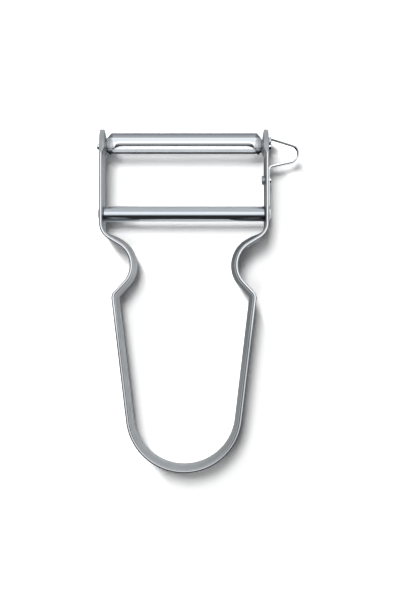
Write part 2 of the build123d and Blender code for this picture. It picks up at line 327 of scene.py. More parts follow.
def corner_spans(corners, radii):
    """The first heading and the spans of a line through those corners, each rounded by its radius. Straights
    are shortened by the radius times the tangent of half the turn."""
    corners = np.array(corners, float)
    legs = np.diff(corners, axis=0)
    lengths = np.hypot(legs[:, 0], legs[:, 1])
    headings = np.unwrap(np.arctan2(legs[:, 1], legs[:, 0]))
    turns = np.diff(headings)
    tangents = np.array(radii) * np.tan(np.abs(turns) / 2)
    straights = lengths - np.concatenate([[0], tangents]) - np.concatenate([tangents, [0]])
    spans = [(straights[0], 0.0)]
    for radius, turn, straight in zip(radii, turns, straights[1:]):
        spans += [(radius * abs(turn), turn), (straight, 0.0)]
    return headings[0], spans


# %% The frame's bend line
THICK, WIDTH, HOLLOW = 1.0, 11.0, 1.15
HALF = WIDTH / 2
BUTT_RADIUS, LEAN, SHOULDER_Y = 18.0, radians(6.8), 56.0
ARM_X, FOOT_Y, BAR_Y, PIVOT_Y = 26.45, 75.9, 82.2, 103.9
butt_end = (BUTT_RADIUS * cos(LEAN), BUTT_RADIUS * (1 - sin(LEAN)))
shoulder = (butt_end[0] + (SHOULDER_Y - butt_end[1]) * tan(LEAN), SHOULDER_Y)
frame_corners = [butt_end, shoulder, (12.1, 67.2), (ARM_X, FOOT_Y), (ARM_X, PIVOT_Y)]
spans = corner_spans(frame_corners, [2.5, 8.0, 5.3])[1]
butt_turn = pi / 2 - LEAN
spans = [(BUTT_RADIUS * butt_turn, butt_turn)] + spans + [(7.0, 0.0)]
knots, line_s, line_x, line_y, line_h = bent_line((0, 0), 0.0, spans)
PIVOT_S = knots[-2]
ARM_S = knots[-3]
NECK_S = knots[5] + 0.15 * (knots[6] - knots[5])
pivot_x, pivot_y = (round(float(np.interp(PIVOT_S, line_s, column)), 3) for column in (line_x, line_y))
print("half the strip is", round(float(PIVOT_S), 2), "mm to the pivot at x", pivot_x, "y", pivot_y)


def strip_to_frame(s, w, n):
    """Flat strip coordinates to the frame's: s along the bend line, w across it from mid height, n off its
    middle to the inside. The left half mirrors the right. In the grip the strip bows inwards by the hollow
    times one minus the square of w over half the width between its edges."""
    side = np.where(s < 0, -1.0, 1.0)
    a = np.abs(s)
    x, y, h = (np.interp(a, line_s, column) for column in (line_x, line_y, line_h))
    share = np.clip((a - NECK_S) / (ARM_S - NECK_S), 0, 1)
    bow = HOLLOW * (1 + np.cos(pi * share)) / 2 * (1 - np.clip(w / (HALF - 0.25), -1, 1) ** 2)
    off = n + bow
    return np.stack([side * (x - off * np.sin(h)), y + off * np.cos(h), HALF + w], -1)


# %% [markdown]
# ## The frame
# On the real peeler the handle, the waist, the arms and the ears are one strip. The grip is hollow
# between its edges, the edges are crowned by tumbling, and each ear is pressed to a square edge with a
# turned-in rim round the pin's hole. A curve with a bevel could follow the bends, but it can't have the
# holes and the ears.
# So the strip is opened out flat, to a long band with two round ends. Half of its section, from the
# middle line out to the edge and back, is carried once all the way round that band: up one edge, round
# the pin hole of the right ear in a fan, down the other edge and round the left ear. The two runs meet
# on the middle line. Where the band has a hole, the section starts at the hole's rim instead.
# At the ears the same section changes little by little into the pressed one. The last formula bends
# the finished band, so each point still knows its place on the flat metal.

# %% The half sections
CROWN, CORNER, FLAT = 0.56, 0.11, 0.05
RIM = 1.1
shares = np.concatenate([[0, 0.05], np.linspace(0.1, 0.75, 20), [0.85, 0.95, 1.0]])
FACE_END = 4.08


def flat_u(u_from, u_to, n, count):
    """Points evenly spread along a face at height n."""
    return np.stack([np.linspace(u_from, u_to, count), np.full(count, n)], -1)


half_thick = THICK / 2
crown_drop = CROWN * (1 - cos(radians(48))) + CORNER * cos(radians(48))
flat = [flat_u(4.15, 4.5, half_thick, 6), flat_u(4.6, 4.95, half_thick, 4)]
plain = np.concatenate(flat + [
    arc(HALF - crown_drop, half_thick - CORNER, CORNER, 90, 62, 3),
    arc(HALF - CROWN, FLAT, CROWN, 48, 0, 4),
    arc(HALF - CROWN, -FLAT, CROWN, 0, -48, 4),
    arc(HALF - crown_drop, CORNER - half_thick, CORNER, -58, -90, 4),
])
square = np.concatenate(flat + [
    arc(HALF - 0.1, half_thick - 0.1, 0.1, 90, 0, 7),
    arc(HALF - 0.1, 0.1 - half_thick, 0.1, 0, -90, 8),
])
formed = np.concatenate([
    arc(4.15, half_thick + 0.35, 0.35, -90, 0, 6),
    arc(4.75, half_thick + RIM - 0.25, 0.25, 180, 90, 4),
    arc(HALF - 0.28, half_thick + RIM - 0.28, 0.28, 90, 0, 7),
    arc(HALF - 0.2, 0.2 - half_thick, 0.2, 0, -90, 8),
])
BEFORE_EDGE = 9
is_edge = np.concatenate([
    np.zeros(len(shares) + BEFORE_EDGE), np.ones(len(plain) - BEFORE_EDGE), np.zeros(len(shares)),
])
print("half section:", len(is_edge), "points, of which", len(plain), "are the edge")

# %% Stations round the band
PIN_HOLE, BAR_HOLE, RIVET_HOLE = 1.06, 1.52, 0.82
BAR_S = PIVOT_S - (PIVOT_Y - BAR_Y)
RIVET_Y = 93.02
RIVET_S = PIVOT_S - (PIVOT_Y - RIVET_Y)


def steps(start, end, size):
    """Evenly spaced values from start to end, at most size apart."""
    return np.linspace(start, end, max(2, ceil((end - start) / size) + 1))


span_steps = (0.9, 3, 0.2, 3, 0.6, 1, 0.4, 4)
runs = [steps(a, b, size) for a, b, size in zip(knots[:-2], knots[1:-1], span_steps)]
half_turn = np.cos(np.linspace(0, pi, 17))
at_holes = [BAR_S + BAR_HOLE * half_turn, RIVET_S + RIVET_HOLE * half_turn]
at_ear = [steps(PIVOT_S - 5.2, PIVOT_S, 0.14), PIVOT_S - PIN_HOLE * np.cos(np.linspace(0, pi / 2, 9))]
right = np.unique(np.round(np.concatenate(runs + at_holes + at_ear), 4))
along = np.concatenate([-right[::-1], right[1:]])
fan = np.radians(np.linspace(90, -90, 73))[1:-1]
ones = np.ones_like(along)
centre_s = np.concatenate([along, np.full(len(fan), right[-1]), along[::-1], np.full(len(fan), -right[-1])])
out_s = np.concatenate([0 * ones, np.cos(fan), 0 * ones, -np.cos(fan)])
out_w = np.concatenate([ones, np.sin(fan), -ones, -np.sin(fan)])
print(len(centre_s), "stations")

# %% Hole rims and smooth steps
def hole_rim(s):
    """How far out the section starts at s: the half chord of a round hole, which is the root of its radius
    squared less the distance squared, or zero."""
    start = np.zeros_like(s)
    for centre, radius in ((right[-1], PIN_HOLE), (-right[-1], PIN_HOLE), (BAR_S, BAR_HOLE),
                           (-BAR_S, BAR_HOLE), (RIVET_S, RIVET_HOLE)):
        start = np.maximum(start, np.sqrt(np.clip(radius**2 - (s - centre) ** 2, 0, None)))
    return np.where(start < 1e-3, 0, start)


def smooth(value):
    """The smooth step of a value held between zero and one: three of its squares less two of its cubes."""
    value = np.clip(value, 0, 1)
    return value * value * (3 - 2 * value)


# %% [markdown]
# ### Ears, rims and stops
# An ear is the same strip, pressed in a die. So its section has the plain one's points in other
# places: first a square edge, then a rim that stands up inside. Mixing two sections point by point
# gives every step between them with no seam. Two dimples are pressed into each ear, and the blade's
# end block meets them at the ends of its swing.
# The marks say where the finish changes: on the crowned edges, brighter along the arms, and on the ears. One
# more mark is painted shade on the inner face of the right half.

# %% How the section changes along the band
inner_end = hole_rim(centre_s)
outline_y = np.where(out_s == 0, np.abs(centre_s), np.abs(centre_s) + HALF * np.abs(out_s)) - right[-1]
rim_places, rim_heights = [-2.7, -0.9, 0.1, 2.4, 4.6, HALF], [0, 0.82, 0.78, 0.52, 0.4, 0.3]
rim_share = np.interp(outline_y, rim_places, rim_heights)[:, None, None]
ears = smooth((outline_y + 3.4) / 1.6)[:, None]
bend = plain + ears[..., None] * (square - plain)
bend = bend + rim_share * (formed - bend)
face = inner_end[:, None] + shares * (FACE_END - inner_end[:, None])
u = np.concatenate([face, bend[..., 0], face[:, ::-1]], 1)
n = np.concatenate([np.full_like(face, half_thick), bend[..., 1], np.full_like(face, -half_thick)], 1)
s = centre_s[:, None] + out_s[:, None] * u
w = out_w[:, None] * u
print("the band is", np.round([np.ptp(s), np.ptp(w), np.ptp(n)], 2).tolist(), "mm long, wide and deep")

# %% Stops pressed into the ears
stops = ((1.3, -1.75), (-0.505, 2.12))
inner_face = np.arange(u.shape[1]) < len(shares)
for stop_s, stop_w in stops:
    reach = np.hypot(np.abs(s) - right[-1] - stop_s, w - stop_w)
    bump = 0.93 * smooth((0.74 - reach) / 0.34)
    recess = 0.5 * smooth((0.42 - reach) / 0.24) * (n < -0.4)
    n = n + np.where(inner_face, bump, recess)
print(len(stops), "stops in each ear")

# %% The frame's surface and its marks
points = strip_to_frame(s, w, n)
quads = grid_quads(*u.shape, loop_rows=True, loop_columns=True)
in_hole = (inner_end > 0) | (np.roll(inner_end, -1) > 0)
quads = np.concatenate([quads[:, :-1].reshape(-1, 4), quads[in_hole, -1]])
ears = ears * np.ones_like(u)
edge = np.broadcast_to(is_edge, u.shape) * (1 - ears)
# The crowned edges get a brighter tone along the arms.
rubbed = edge * smooth((np.abs(s) - 50) / 12)
# Painted shade: the inner face of the right half is darkened, more towards the ear.
dull_places, dull_shares = [0, 15, 40, 60, PIVOT_S - 5, PIVOT_S - 2], [0, 0.35, 0.5, 0.75, 1.0, 0]
dull = np.interp(s, dull_places, dull_shares) * (n > 0.3)
flow = np.stack([s, w + np.where(n > 0, n, -n), n], -1)
frame_piece = make_piece("frame_strip", points.reshape(-1, 3), quads, "handle", "frame", "frame_steel",
                         edge=edge.ravel(), ears=ears.ravel(), rubbed=rubbed.ravel(), dull=dull.ravel(),
                         flow=flow.reshape(-1, 3))

# %% [markdown]
# ## The crossbar
# A round rod stiffens the arms. Its ends are softly rounded where they meet the arms, a thinner tenon
# goes through each arm, and the tenon's end is hammered to a low head outside. A lathe makes such a
# rod, and so does a profile turned about its axis: distance along the bar against radius.

# %% A turned piece
def turned(profile, centre_y, centre_z, sides=96):
    """Points of a profile of x and radius, turned about the line along X through a centre: y and z are the
    centre's plus the radius times the cosine and the sine."""
    angles = np.linspace(0, 2 * pi, sides, endpoint=False)
    x = np.broadcast_to(profile[:, 0], (sides, len(profile)))
    y = centre_y + profile[:, 1] * np.cos(angles)[:, None]
    z = centre_z + profile[:, 1] * np.sin(angles)[:, None]
    around = angles[:, None] * np.maximum(profile[:, 1], 0.2)
    points = np.stack([x, y, z], -1)
    flow = np.stack([x, around, 0 * x], -1)
    quads = grid_quads(sides, len(profile), loop_rows=True)
    return points.reshape(-1, 3), quads, flow.reshape(-1, 3)


# %% Crossbar
ARM_IN, ARM_OUT = 25.95, 26.95
BAR_RADIUS, TENON_RADIUS, HEAD_RADIUS = 2.5, 1.5, 1.95
quarter = np.linspace(0, pi / 2, 14)
dome = np.stack([ARM_OUT + 0.15 + 0.95 * np.sin(quarter), HEAD_RADIUS * np.cos(quarter)], -1)
bar_half = np.concatenate([
    np.stack([np.linspace(0, 25.6, 24), np.full(24, BAR_RADIUS)], -1),
    arc(ARM_IN - 0.2, BAR_RADIUS - 0.2, 0.2, 90, 0, 7),
    [(ARM_IN, TENON_RADIUS), (ARM_OUT, TENON_RADIUS), (ARM_OUT, 1.8)],
    arc(ARM_OUT + 0.15, 1.8, 0.15, 180, 90, 4)[1:],
    dome[1:],
])
bar_half[-1, 1] = 0
bar_profile = np.concatenate([bar_half[::-1] * (-1, 1), bar_half[1:]])
points, quads, flow = turned(bar_profile, BAR_Y, HALF)
heads = (np.abs(points[:, 0]) > ARM_OUT).astype(float)
bar = make_piece("crossbar_polished", points, quads, "handle", "crossbar", "bar_steel",
                 flow=flow, heads=heads)

# %% [markdown]
# ## The rivet
# A small rivet holds the loop's tail to the right arm. It has a round head inside the arm. Outside, its end
# comes through the loop's strip and is hammered to a low collar round a small disc. It is turned like the
# bar, from a profile of its own. Outside it is bright, and its side towards the handle is painted black, as
# painted shade. Two marks, worked out from the place of each point, do that.

# %% Rivet
rivet_profile = np.concatenate([
    [(ARM_IN - 0.95, 0)],
    arc(ARM_IN - 0.75, 1.45 - 0.2, 0.2, 180, 90, 7),
    [(ARM_IN, 1.45), (ARM_IN, 0.8), (ARM_OUT + 0.5, 0.8), (ARM_OUT + 0.5, 1.15)],
    arc(ARM_OUT + 0.55, 1.05, 0.1, 90, 0, 4),
    [(ARM_OUT + 0.65, 0.8)],
    arc(ARM_OUT + 0.98, 0.73, 0.07, 90, 0, 5),
    [(ARM_OUT + 1.05, 0)],
])
points, quads, flow = turned(rivet_profile, RIVET_Y, HALF, 64)
tail = (points[:, 0] > ARM_OUT).astype(float)
# Painted shade: the side of the rivet's end towards the handle is painted black.
black = tail * smooth((RIVET_Y - 0.15 - points[:, 1]) / 0.2) * (points[:, 0] < ARM_OUT + 1.04)
rivet = make_piece("loop_rivet_head", points, quads, "handle", "loop_rivet", "rivet_steel",
                   flow=flow, tail=tail, black=black)

# %% [markdown]
# ## The loop
# The loop for eyes is a thin spring strip with round edges. It lies flat along the arm, turns out to
# a blunt nose and comes back to the pin, with four bends in all, and its short end is folded double.
# A bent curve with a thickness would do for its outline. Carried along its own line by the frame's
# helper, it also gets the round of its ends, where the section shrinks, and the fold, where it thickens.

# %% Loop
LOOP_THICK, LOOP_WIDTH = 0.5, 3.2
LOOP_X, NOSE_X = 27.2, 36.75
loop_corners = [
    (LOOP_X, 84.32), (LOOP_X, 97.32), (NOSE_X, 99.429),
    (NOSE_X, 103.692), (LOOP_X + 0.35, 106.55), (LOOP_X + 0.35, 104.95),
]
lower = pi / 2 - atan2(loop_corners[2][1] - loop_corners[1][1], NOSE_X - LOOP_X)
upper = pi / 2 - atan2(loop_corners[4][1] - loop_corners[3][1], NOSE_X - LOOP_X)
nose = 0.97 * (loop_corners[3][1] - loop_corners[2][1]) / (tan(lower / 2) + tan(upper / 2))
heading, spans = corner_spans(loop_corners, [1.5, nose, nose, 0.5])
loop_knots, loop_s, loop_x, loop_y, loop_h = bent_line(loop_corners[0], heading, spans, 0.002)

edge_round = 0.14
side_w, side_n = LOOP_WIDTH / 2 - edge_round, LOOP_THICK / 2 - edge_round
section = np.concatenate([
    arc(side_w, side_n, edge_round, 0, 90, 5),
    np.stack([np.linspace(side_w, -side_w, 9)[1:-1], np.full(7, LOOP_THICK / 2)], -1),
    arc(-side_w, side_n, edge_round, 90, 180, 5),
    arc(-side_w, -side_n, edge_round, 180, 270, 5),
    np.stack([np.linspace(-side_w, side_w, 9)[1:-1], np.full(7, -LOOP_THICK / 2)], -1),
    arc(side_w, -side_n, edge_round, 270, 360, 5),
])
span_steps = (1, 0.15, 1, 0.2, 1, 0.2, 1, 0.06, 0.3)
runs = [steps(a, b, size) for a, b, size in zip(loop_knots[:-1], loop_knots[1:], span_steps)]
stations = np.unique(np.round(np.concatenate(runs), 4))
cap = np.linspace(0, 1, 5)
cap_in = edge_round * (1 - np.cos(cap * pi / 2))
tip = stations[-1]
stations = np.concatenate([[0.0], cap_in, stations[1:-1], tip - cap_in[::-1], [tip]])
to_end = np.clip(np.minimum(stations, tip - stations) / edge_round, 0, 1)
inset = edge_round * (1 - np.sqrt(np.clip(1 - (1 - to_end) ** 2, 0, 1)))
shrink_w = 1 - inset / (LOOP_WIDTH / 2)
shrink_n = 1 - inset / (LOOP_THICK / 2)
shrink_w[[0, -1]] = 0
shrink_n[[0, -1]] = 0
w = section[:, 0] * shrink_w[:, None]
FOLD = 0.9
fold = 1 + FOLD * smooth((stations - loop_knots[7]) / 0.5)
n = section[:, 1] * (shrink_n * fold)[:, None]
x, y, h = (np.interp(stations, loop_s, column)[:, None] for column in (loop_x, loop_y, loop_h))
points = np.stack([x - n * np.sin(h), y + n * np.cos(h), HALF + w], -1)

# %% The loop's surface and its marks
edge = np.broadcast_to(np.abs(section[:, 0]) > side_w - 0.01, w.shape).astype(float)
edge = edge * (1 - 0.8 * smooth((stations[:, None] - loop_knots[-3]) / 0.3))
# Painted shade: the loop's faces are darkened, most at the nose, and there the bright edge is dimmed.
nose_part = smooth((stations - loop_knots[3]) / 1.0) * smooth((loop_knots[6] - stations) / 1.5)
dull = (1 - edge) * (0.72 + 0.28 * nose_part)[:, None]
edge = edge * (1 - 0.6 * nose_part)[:, None]
flow = np.stack([np.broadcast_to(stations[:, None], w.shape), w, n], -1)
quads = grid_quads(*w.shape, loop_columns=True)
loop = make_piece("eye_loop_strip", points.reshape(-1, 3), quads, "handle", "eye_loop", "loop_steel",
                  edge=edge.ravel(), dull=dull.ravel(), flow=flow.reshape(-1, 3))

# %% [markdown]
# ## The blade
# The blade is a thin sheet, creased near its front, bowed over its middle and bent down at its back.
# A long slot runs through it. The slot's front rim is the cutting edge, so the metal dips towards it,
# and behind the slot a narrow guide lip slides over the vegetable. The ends are solid and a little
# higher, because there the sheet was squeezed; they taper to blocks that carry the two pins.
# A plane with a Solidify modifier could be bent to this, but its slot would cut across the grid. Here
# the sheet's height is a formula, and across the blade each side of the slot is one closed section.
# Both are carried along the blade, follow the slot's rims, and meet again where the slot ends.

# %% Section of the blade
PIVOT_Z = HALF
SHEET, PIN = 0.8, 1.0
FRONT, CREASE, BEND_BACK, BACK = 4.55, 2.6, -2.1, -2.55
HEEL, TAPER_FRONT, TAPER_BACK = 25.65, 23.5, 23.9
SEAM_END, FALL_START, FALL_END = 24.6, 24.8, 25.05
SLOT_END, SLOT_FRONT, SLOT_BACK, SLOT_ROUND = 22.6, -0.08, -1.01, 4.8
FRONT_SLOPE, GUIDE_SLOPE, BACK_SLOPE = 2.15 / 1.9, 0.27, 0.9
CREASE_HEIGHT, CROWN_HEIGHT, GUIDE_HEIGHT = 1.4, 1.95, 1.22
CROWN_RADIUS, CROWN_Y = 5.02, 0.35


def smooth_min(a, b, width):
    """The smaller of two values. Where they are within width of each other, a parabola rounds the corner."""
    d = np.clip((b - a) / width, -1, 1)
    rounded = (a + b) / 2 - width * (1 + d**2) / 4
    return np.where(np.abs(b - a) >= width, np.minimum(a, b), rounded)


def sheet_height(y, depth, bend_y, lift):
    """Height of the sheet over the pivot at y, at a depth under its upper face: the least of the front slope,
    the crown's arc, the guide lip behind the slot and the back slope from its bend on, each lowered by the
    depth measured square to it. The lift raises lip and back slope, at the solid ends."""
    front = CREASE_HEIGHT - FRONT_SLOPE * (y - CREASE) - depth * hypot(1, FRONT_SLOPE)
    reach = CROWN_RADIUS - depth
    crown = CROWN_HEIGHT - CROWN_RADIUS + np.sqrt(np.clip(reach**2 - (y - CROWN_Y) ** 2, 0.01, None))
    guide = GUIDE_HEIGHT + lift + GUIDE_SLOPE * (y - bend_y) - depth * hypot(1, GUIDE_SLOPE)
    guide = guide + 2 * smooth((y - SLOT_BACK) / (SLOT_FRONT - SLOT_BACK))
    back = GUIDE_HEIGHT + lift + BACK_SLOPE * (y - bend_y) - depth * hypot(1, BACK_SLOPE)
    return smooth_min(smooth_min(smooth_min(front, crown, 0.16), guide, 0.08), back, 0.05)


# %% Outlines of the blade
def front_outline(x):
    """The front edge, then the chamfer that runs down to the pin's block."""
    return np.interp(np.abs(x), [TAPER_FRONT, HEEL], [FRONT, PIN])


def back_outline(x):
    """The back edge and its chamfer, the same way."""
    return np.interp(np.abs(x), [TAPER_BACK, HEEL], [BACK, -PIN])


def seam(x):
    """Where the two halves meet past the slot's end: from the slot's back rim to the middle of the pin."""
    return np.interp(np.abs(x), [SLOT_END, SEAM_END], [SLOT_BACK, 0.0])


def front_rim(x):
    """The slot's front rim: straight, then along an arc back to the other rim at each end, then the seam."""
    width = SLOT_FRONT - SLOT_BACK
    run = sqrt(width * (2 * SLOT_ROUND - width))
    d = np.clip(np.abs(x) - (SLOT_END - run), 0, run)
    rim = SLOT_FRONT - (SLOT_ROUND - np.sqrt(SLOT_ROUND**2 - d**2))
    return np.where(np.abs(x) >= SLOT_END, seam(x), rim)


def end_height(x):
    """Height of the solid end, from the crown's height where it starts to fall to the pin's radius."""
    return np.interp(np.abs(x), [FALL_START, FALL_END], [1.97, PIN])


# %% Stations along the blade
half_x = np.unique(np.round(np.concatenate([
    steps(0, 17, 1.0), steps(17, SLOT_END, 0.14), steps(SLOT_END, TAPER_FRONT, 0.1),
]), 4))
end_x = np.unique(np.round(np.concatenate([
    steps(TAPER_FRONT, HEEL - 0.1, 0.09), [TAPER_BACK, SEAM_END, FALL_START, FALL_END],
]), 4))
station_x = np.concatenate([-end_x[::-1], -half_x[::-1], half_x[1:], end_x])
solid = np.concatenate([np.ones(len(end_x)), np.zeros(2 * len(half_x) - 1), np.ones(len(end_x))])[:, None]
open_slot = np.abs(station_x) < SLOT_END - 1e-6
print(len(station_x), "stations along the blade")


def rounded_corner(point, back, ahead, radius, count=5):
    """A corner cut by a quadratic curve, from the radius back from the point to the radius ahead of it."""
    q = np.linspace(0, 1, count)[None, :, None]
    start = (point + back * radius)[:, None]
    end = (point + ahead * radius)[:, None]
    return (1 - q) ** 2 * start + 2 * q * (1 - q) * point[:, None] + q**2 * end


def unit(vectors):
    """Vectors divided by their lengths."""
    return vectors / np.maximum(np.linalg.norm(vectors, axis=-1, keepdims=True), 1e-9)


# %% Half a section of the blade
def half_section(rim, outline, nominal, sign, lip):
    """The closed section of one side of the slot at every station: up over the rim, along the upper face to
    the outline, round the edge and back along the lower face. Points stay at their own y, and those past a
    rim or an outline are drawn in to it. Sign is the side, lip the share of the cutting rim's dip."""
    x = station_x[:, None]
    rim = rim[:, None]
    outline = outline[:, None]
    fade_in = smooth((SLOT_END - np.abs(x)) / 0.9)
    bend_y = BEND_BACK + back_outline(x) - BACK
    lift = 0.28 * smooth((np.abs(x) - SLOT_END + 0.1) / 0.9)

    def top(y):
        dip = -smooth_min(-0.35 * (1.32 - np.abs(y - rim)), 0.0, 0.08)
        return np.minimum(sheet_height(y, 0.0, bend_y, lift), end_height(x)) - lip * dip * fade_in

    def low(y):
        near = np.clip(1 - np.abs(y - rim) / 0.8, 0, 1)
        sheet = np.minimum(sheet_height(y, SHEET, bend_y, lift), top(y) - 0.3) + lip * 0.15 * near * fade_in
        return np.where(solid > 0, -PIN, sheet)

    def at(y, height):
        return np.concatenate([y, height(y)], 1)

    slope = FRONT_SLOPE if sign > 0 else BACK_SLOPE
    low_outline = outline - sign * (1 - solid) * SHEET * sin(atan2(slope, 1))
    upper_rim, lower_rim = at(rim, top), at(rim, low)
    upper_edge, lower_edge = at(outline, top), at(low_outline, low)
    rim_radius = 0.05 * smooth((SLOT_END - np.abs(x)) / 0.5)
    edge_radius = np.minimum(0.1, 0.45 * np.linalg.norm(lower_edge - upper_edge, axis=1, keepdims=True))
    slope_at_edge = unit(at(outline - sign * 0.1, top) - upper_edge)
    low_at_edge = unit(at(low_outline - sign * 0.1, low) - lower_edge)
    slope_at_rim = unit(at(rim + sign * 0.1, top) - upper_rim)
    low_at_rim = unit(at(rim + sign * 0.1, low) - lower_rim)
    wall = unit(lower_rim - upper_rim)
    edge_wall = unit(lower_edge - upper_edge)
    first = rounded_corner(upper_rim, wall, slope_at_rim, rim_radius, 4)
    second = rounded_corner(upper_edge, slope_at_edge, edge_wall, edge_radius)
    third = rounded_corner(lower_edge, -edge_wall, low_at_edge, edge_radius)
    fourth = rounded_corner(lower_rim, low_at_rim, -wall, rim_radius, 4)
    wall_share = np.linspace(0, 1, 15)[None, 1:-1, None]
    edge_side = second[:, -1:] + (third[:, :1] - second[:, -1:]) * wall_share
    y_top = sign * np.clip(sign * nominal, sign * first[:, -1:, 0], sign * second[:, :1, 0])
    y_low = sign * np.clip(sign * nominal[::-1], sign * fourth[:, :1, 0], sign * third[:, -1:, 0])
    upper = np.stack([y_top, top(y_top)], -1)
    lower = np.stack([y_low, low(y_low)], -1)
    return np.concatenate([first, upper, second, edge_side, third, lower, fourth], 1)


# %% Both sides of the slot
front_y = np.concatenate([
    np.linspace(-0.9, 1.1, 21), [1.35, 1.6, 1.85, 2.1], np.linspace(2.25, 2.95, 10), [3.2, 3.6, 4.0, 4.25],
])
back_y = np.concatenate([np.linspace(-0.1, -1.6, 13), np.linspace(-1.66, -2.06, 7), [-2.15, -2.25]])
slot_back = np.where(open_slot, SLOT_BACK, seam(station_x))
front_part = half_section(front_rim(station_x), front_outline(station_x), front_y, 1, 1.0)
back_part = half_section(slot_back, back_outline(station_x), back_y, -1, 0.0)
print("sections of", front_part.shape[1], "points before the slot and", back_part.shape[1], "behind it")

# %% The pins
PIN_ROUND, PIN_RUN_END, PIN_END = 0.3, 27.8, 28.1
pin_run = steps(26.0, PIN_RUN_END, 0.3)
rounding = np.linspace(0.1, 1, 6) * pi / 2
pin_x = np.concatenate([[HEEL, HEEL], pin_run, PIN_RUN_END + PIN_ROUND * np.sin(rounding), [PIN_END]])
pin_r = np.concatenate([[0, PIN], np.full(len(pin_run), PIN), PIN - PIN_ROUND * (1 - np.cos(rounding)), [0]])


def with_pins(part):
    """One part's stations with the rings of both pins: each point keeps its direction from the pin's middle,
    at the pin's radius. The block's end face starts a tenth smaller, but never inside the pin."""
    ring_dir = unit(part[[0, -1]])
    rings = [ring_dir[i][None] * pin_r[1:, None, None] for i in (0, 1)]
    chamfer = []
    for end in (part[0], part[-1]):
        shrink = np.maximum(0.9, PIN / np.linalg.norm(end, axis=-1))
        chamfer.append((end * shrink[:, None])[None])
    block = np.concatenate([rings[0][::-1], chamfer[0], part, chamfer[1], rings[1]])
    x = np.concatenate([-pin_x[:0:-1], [-HEEL], station_x, [HEEL], pin_x[1:]])
    points = np.concatenate([np.broadcast_to(x[:, None, None], block.shape[:2] + (1,)), block], -1)
    return points + (0, PIVOT_Y, PIVOT_Z)


# %% The blade's surface
sides = []
for part in (front_part, back_part):
    points = with_pins(part)
    rows, columns = points.shape[:2]
    quads = grid_quads(rows, columns, loop_columns=True)
    walled = np.zeros(rows - 1, bool)
    extra = (rows - len(station_x)) // 2
    walled[extra:extra + len(station_x) - 1] = open_slot[:-1] | open_slot[1:]
    sides.append((points.reshape(-1, 3), np.concatenate([quads[:, :-1].reshape(-1, 4), quads[walled, -1]])))

points = np.concatenate([side[0] for side in sides])
quads = np.concatenate([sides[0][1], sides[1][1] + len(sides[0][0])])
print("the blade has", len(points), "points before they are merged")

# %% [markdown]
# ### Marks on the blade
# The front face is ground, and its dark tone, deepest at the front edge, is a painted dark reflection. The
# back chamfers and the undersides of the pins are painted black, as painted shade. The solid ends are matt
# and mottled, where they were squeezed. Painting that on an image would need a map of the surface. Each mark
# is an attribute instead, a number from zero to one at every point, worked out from the point's place.

# %% Marks on the blade
local_y = points[:, 1] - PIVOT_Y
far_x = np.abs(points[:, 0])
from_edge = front_outline(far_x) - local_y
# Painted dark reflection: the ground front face, darkest at its front edge, the ends' front chamfers and the
# back chamfers.
ground = smooth((local_y - CREASE + 0.02) / 0.06) * np.interp(from_edge, [0, FRONT - CREASE], [1.0, 0.6])
ground = np.maximum(ground, smooth((far_x - 21.5) / 2) * (local_y > CREASE))
ground = np.maximum(ground, smooth(1.5 - from_edge / 0.35) * (far_x > TAPER_FRONT)) * (far_x < HEEL - 0.05)
back_bend = BEND_BACK + back_outline(far_x) - BACK
past_bend = smooth((back_bend - local_y) / 0.06)
back_chamfer = past_bend * (far_x > TAPER_BACK - 0.3) * (far_x < 24.85)
ground = np.maximum(ground, back_chamfer)
# Painted shade: the back chamfers, at half strength the back slope, and the undersides of the pins are
# painted black.
black = np.maximum(back_chamfer, 0.5 * past_bend * (far_x < 24.0))
black = np.maximum(black, smooth((-0.1 - local_y) / 0.2) * (far_x > HEEL + 0.2) * (far_x < 28.05))
beside = 1 - back_chamfer
ends = smooth((far_x - 22.9) / 0.9) * (far_x < HEEL + 0.01) * beside * (1 - 0.75 * (far_x > 24.75))
skewed = smooth((far_x - 22.2 - 0.35 * local_y) / 0.5)
ends = np.maximum(ends, 0.8 * skewed * (far_x < HEEL) * beside)
mottling = 0.86 + 0.14 * np.sin(7 * far_x + 5 * local_y) * np.sin(6 * local_y - 9 * far_x)
ends = ends * (1 - 0.7 * smooth((-1.0 - local_y) / 0.1)) * mottling
flow = np.stack([points[:, 0], local_y, points[:, 2] - PIVOT_Z], -1)
blade = make_piece("blade_ground", points, quads, "blade", "blade", "blade_steel",
                   flow=flow, ground=ground, ends=ends, black=black)

# %% [markdown]
# ## The finishes
# All of it is stainless steel, and the pieces differ only in how they were finished. The strip is
# satin: fine scratches run along it, round every bend, and its cut edges are tumbled bright. The bar
# and the blade are polished, with the faint marks of use. The loop and the rivet are duller.
# Anisotropic gloss could stand for scratches, but it shows no single one. So they are a shader node
# group: noise read along the flow attribute, drawn out in the direction of the metal. Each material
# places the group with its own values.
# Where a finish changes over a piece, its marks mix in another tone and roughness. Some marks are not finish
# but painted shade and a painted dark reflection. Any metal turns white where it is seen at a grazing angle,
# and the glance of a finish darkens that on one mark, as painted shade.

# %% Grain group
def new_group(name, inputs, outputs):
    """A shader node group with named sockets; inputs have a kind and a starting value."""
    group = bpy.data.node_groups.new(name, "ShaderNodeTree")
    for label, kind, value in inputs:
        socket = group.interface.new_socket(label, in_out="INPUT", socket_type=kind)
        if value is not None:
            socket.default_value = value
    for label, kind in outputs:
        group.interface.new_socket(label, in_out="OUTPUT", socket_type=kind)
    return group, node(group, "NodeGroupInput"), node(group, "NodeGroupOutput")


